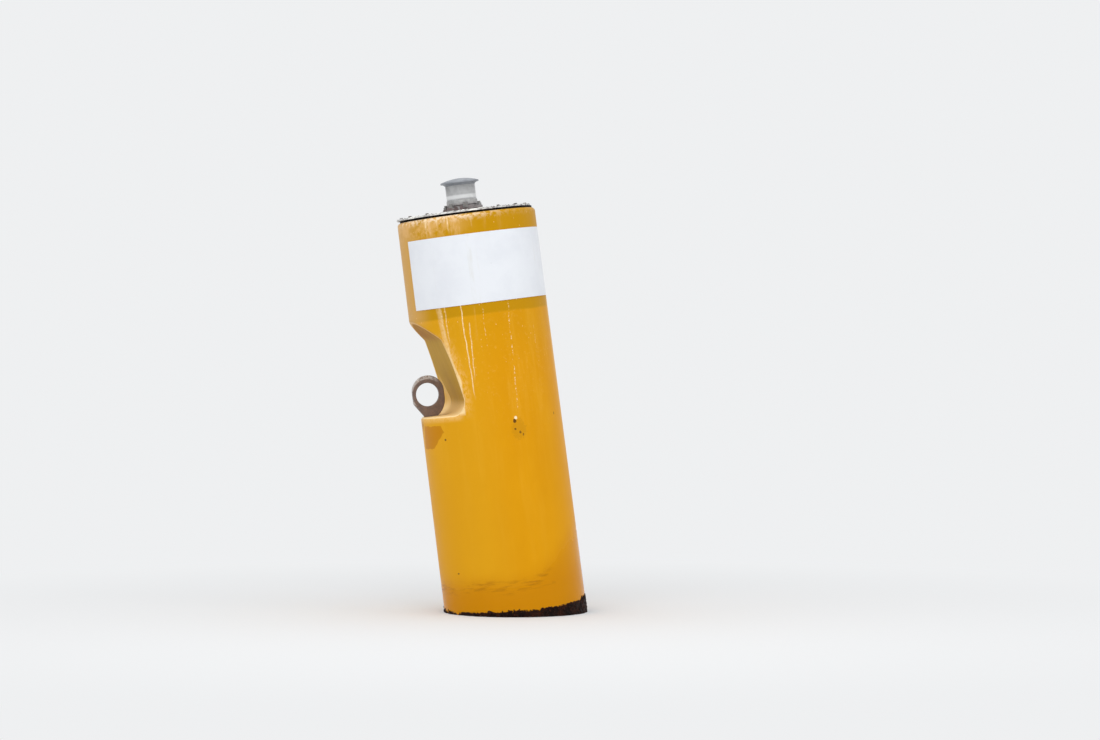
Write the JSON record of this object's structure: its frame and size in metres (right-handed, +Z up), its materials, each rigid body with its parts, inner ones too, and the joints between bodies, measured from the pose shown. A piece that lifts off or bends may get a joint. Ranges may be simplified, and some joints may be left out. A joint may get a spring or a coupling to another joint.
{
  "type": "data buoy",
  "caption": "Tall yellow can buoy with a lifting recess and eye, blank wrapped sign panels, a small drum lantern on its top cover, and a ballast stack with a mooring shackle.",
  "frame": {"origin": "on the hull's axis at the waterline", "axes": "+Z up the hull's axis; the signs face -Y and +Y; the lifting recess and eye face -X"},
  "size_m": [0.7693, 0.7396, 4.763],
  "materials": {
    "hull_yellow": "satin moulded plastic, weathered",
    "sign_white": "blank white sheet",
    "black_rubber": "dull black",
    "cover_plate": "weathered pale grey",
    "rusted_eye": "rusted brown",
    "stud_steel": "dull steel",
    "lantern_body": "grey moulding, dirty",
    "lens_clear": "clear drum lens",
    "lantern_cap": "pale grey cap",
    "dark_plastic": "dark grey",
    "lamp_plastic": "grey green",
    "keel_steel": "black coating, rusting",
    "ballast_iron": "rusty cast iron",
    "rod_steel": "dull steel",
    "shackle_steel": "dull steel, rusting"
  },
  "bodies": {
    "hull": {"hull": "hull_yellow", "sign_front": "sign_white", "sign_back": "sign_white", "cover_gasket": "black_rubber", "top_cover": "cover_plate", "lifting_eye": "rusted_eye", "lantern_studs": "stud_steel", "lantern_base": "lantern_body", "hinge_pin": "stud_steel", "lens_seal": "black_rubber", "lamp_unit": "lamp_plastic", "foot_flange": "keel_steel", "keel_plate": "keel_steel", "mooring_lug": "keel_steel", "ballast_disc_1": "ballast_iron", "ballast_disc_2": "ballast_iron", "ballast_disc_3": "ballast_iron", "ballast_disc_4": "ballast_iron", "tie_rods": "rod_steel"},
    "lantern_head": {"lens_frame": "lantern_body", "lens": "lens_clear", "lens_cap": "lantern_cap", "flasher_can": "dark_plastic", "lantern_latch": "stud_steel"},
    "mooring_shackle": {"shackle_bow": "shackle_steel", "shackle_pin": "shackle_steel", "shackle_nut": "shackle_steel"}
  },
  "joints": [
    {"name": "lantern_hinge", "type": "hinge", "parent": "hull", "child": "lantern_head", "pos_m": [-0.012, 0.093, 2.141], "axis": [-1, 0, 0], "range_deg": [0, 100]},
    {"name": "shackle_swing", "type": "hinge", "parent": "hull", "child": "mooring_shackle", "pos_m": [0, 0, -2.327], "axis": [0, 1, 0], "range_deg": [-80, 80]}
  ]
}
